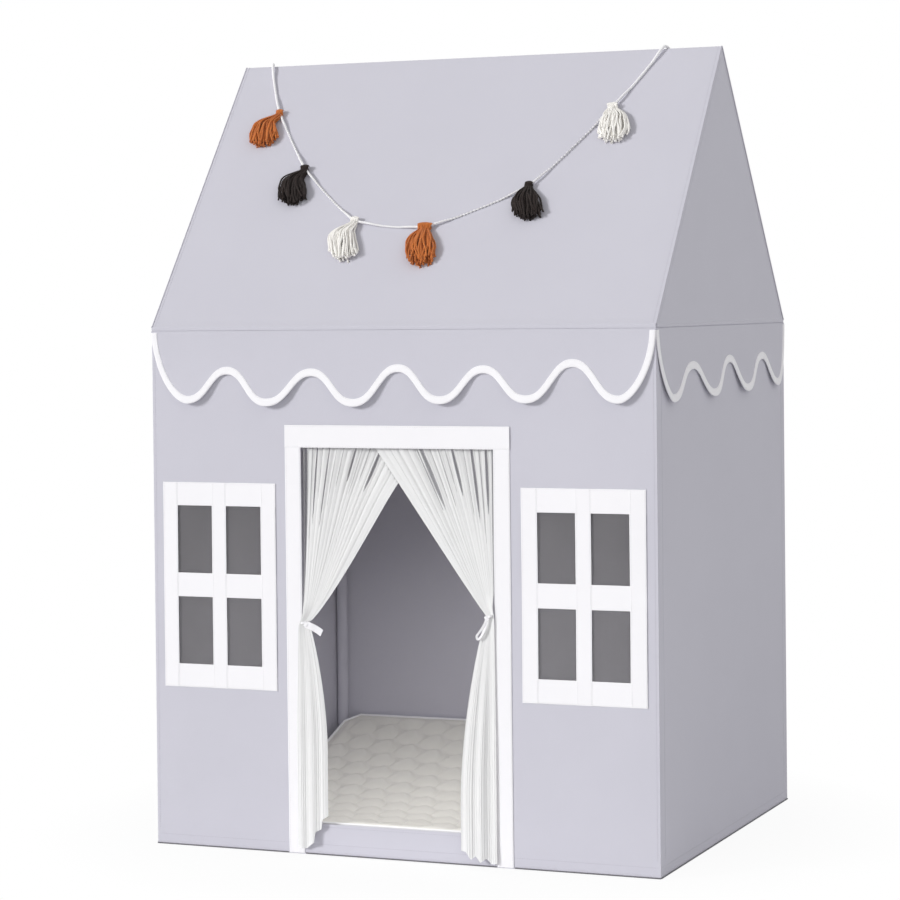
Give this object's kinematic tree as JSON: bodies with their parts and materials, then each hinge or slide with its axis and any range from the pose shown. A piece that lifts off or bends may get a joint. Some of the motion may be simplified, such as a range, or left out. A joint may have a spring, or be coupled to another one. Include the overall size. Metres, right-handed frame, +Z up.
{
  "type": "kids play tent",
  "caption": "House-shaped cloth play tent on a tube frame, with a curtained door, netted windows, scalloped valances, a quilted mat and a tassel garland.",
  "frame": {"origin": "on the floor, at the middle of the tent's footprint", "axes": "+Z up, +X along the ridge towards the tent's right side seen from the door, the door faces -Y"},
  "size_m": [0.949, 0.797, 1.3772],
  "materials": {
    "grey_canvas": "plain woven cotton canvas, light lavender grey, matt",
    "white_cotton": "white cotton tape and cord, matt",
    "white_voile": "sheer off-white voile, softly gathered",
    "grey_net": "fine dark grey mesh",
    "cream_quilt": "cream cotton, quilted over padding",
    "frame_tube": "white extruded plastic tube, smooth",
    "joint_moulding": "white moulded plastic, fine matt grain",
    "rust_yarn": "rust orange cotton yarn, fluffy",
    "black_yarn": "near-black cotton yarn, fluffy",
    "cream_yarn": "natural cream cotton yarn, fluffy"
  },
  "bodies": {
    "tent": {"back_wall": "grey_canvas", "base_connector_back_left": "joint_moulding", "base_connector_back_right": "joint_moulding", "base_connector_front_left": "joint_moulding", "base_connector_front_right": "joint_moulding", "base_rail_back": "frame_tube", "base_rail_front": "frame_tube", "base_rail_left": "frame_tube", "base_rail_right": "frame_tube", "door_trim": "white_cotton", "eave_connector_back_left": "joint_moulding", "eave_connector_back_right": "joint_moulding", "eave_connector_front_left": "joint_moulding", "eave_connector_front_right": "joint_moulding", "eave_rail_back": "frame_tube", "eave_rail_front": "frame_tube", "eave_rail_left": "frame_tube", "eave_rail_right": "frame_tube", "front_wall": "grey_canvas", "gable_left": "grey_canvas", "gable_right": "grey_canvas", "garland_cord": "white_cotton", "mat": "cream_quilt", "post_back_left": "frame_tube", "post_back_right": "frame_tube", "post_front_left": "frame_tube", "post_front_right": "frame_tube", "post_sleeve_back_left": "grey_canvas", "post_sleeve_back_right": "grey_canvas", "post_sleeve_front_left": "grey_canvas", "post_sleeve_front_right": "grey_canvas", "rafter_back_left": "frame_tube", "rafter_back_right": "frame_tube", "rafter_front_left": "frame_tube", "rafter_front_right": "frame_tube", "ridge_connector_left": "joint_moulding", "ridge_connector_right": "joint_moulding", "ridge_pole": "frame_tube", "roof_back": "grey_canvas", "roof_front": "grey_canvas", "side_wall_left": "grey_canvas", "side_wall_right": "grey_canvas", "window_frame_left": "white_cotton", "window_frame_right": "white_cotton", "window_net_left": "grey_net", "window_net_right": "grey_net"},
    "front_valance_flap": {"valance_front": "grey_canvas"},
    "back_valance_flap": {"valance_back": "grey_canvas"},
    "left_valance_flap": {"valance_left": "grey_canvas"},
    "right_valance_flap": {"valance_right": "grey_canvas"},
    "left_curtain_panel": {"curtain_left": "white_voile", "curtain_tie_left": "white_cotton"},
    "right_curtain_panel": {"curtain_right": "white_voile", "curtain_tie_right": "white_cotton"},
    "garland_tassel_1": {"tassel_1": "rust_yarn"},
    "garland_tassel_2": {"tassel_2": "black_yarn"},
    "garland_tassel_3": {"tassel_3": "cream_yarn"},
    "garland_tassel_4": {"tassel_4": "rust_yarn"},
    "garland_tassel_5": {"tassel_5": "black_yarn"},
    "garland_tassel_6": {"tassel_6": "cream_yarn"}
  },
  "joints": [
    {"name": "front_valance_hinge", "type": "hinge", "parent": "tent", "child": "front_valance_flap", "pos_m": [0, -0.3819, 0.888], "axis": [-1, 0, 0], "range_deg": [0, 120]},
    {"name": "back_valance_hinge", "type": "hinge", "parent": "tent", "child": "back_valance_flap", "pos_m": [0, 0.3819, 0.888], "axis": [1, 0, 0], "range_deg": [0, 120]},
    {"name": "left_valance_hinge", "type": "hinge", "parent": "tent", "child": "left_valance_flap", "pos_m": [-0.4579, 0, 0.888], "axis": [0, 1, 0], "range_deg": [0, 120]},
    {"name": "right_valance_hinge", "type": "hinge", "parent": "tent", "child": "right_valance_flap", "pos_m": [0.4579, 0, 0.888], "axis": [0, -1, 0], "range_deg": [0, 120]},
    {"name": "left_curtain_hinge", "type": "hinge", "parent": "tent", "child": "left_curtain_panel", "pos_m": [0, -0.38, 0.6897], "axis": [-1, 0, 0], "range_deg": [0, 60]},
    {"name": "right_curtain_hinge", "type": "hinge", "parent": "tent", "child": "right_curtain_panel", "pos_m": [0, -0.38, 0.6897], "axis": [-1, 0, 0], "range_deg": [0, 60]},
    {"name": "tassel_1_hinge", "type": "hinge", "parent": "tent", "child": "garland_tassel_1", "pos_m": [-0.351, -0.08207, 1.2785], "axis": [-0.4796, 0.547, 0.6862], "range_deg": [0, 90]},
    {"name": "tassel_2_hinge", "type": "hinge", "parent": "tent", "child": "garland_tassel_2", "pos_m": [-0.262, -0.16684, 1.17215], "axis": [-0.6395, 0.4792, 0.6012], "range_deg": [0, 90]},
    {"name": "tassel_3_hinge", "type": "hinge", "parent": "tent", "child": "garland_tassel_3", "pos_m": [-0.132, -0.2435, 1.07597], "axis": [-0.9026, 0.2683, 0.3366], "range_deg": [0, 90]},
    {"name": "tassel_4_hinge", "type": "hinge", "parent": "tent", "child": "garland_tassel_4", "pos_m": [0.004, -0.2541, 1.06268], "axis": [-0.9845, -0.1095, -0.1374], "range_deg": [0, 90]},
    {"name": "tassel_5_hinge", "type": "hinge", "parent": "tent", "child": "garland_tassel_5", "pos_m": [0.174, -0.19987, 1.13071], "axis": [-0.7419, -0.4179, -0.5243], "range_deg": [0, 90]},
    {"name": "tassel_6_hinge", "type": "hinge", "parent": "tent", "child": "garland_tassel_6", "pos_m": [0.288, -0.09142, 1.26677], "axis": [-0.4932, -0.5422, -0.6803], "range_deg": [0, 90]}
  ]
}
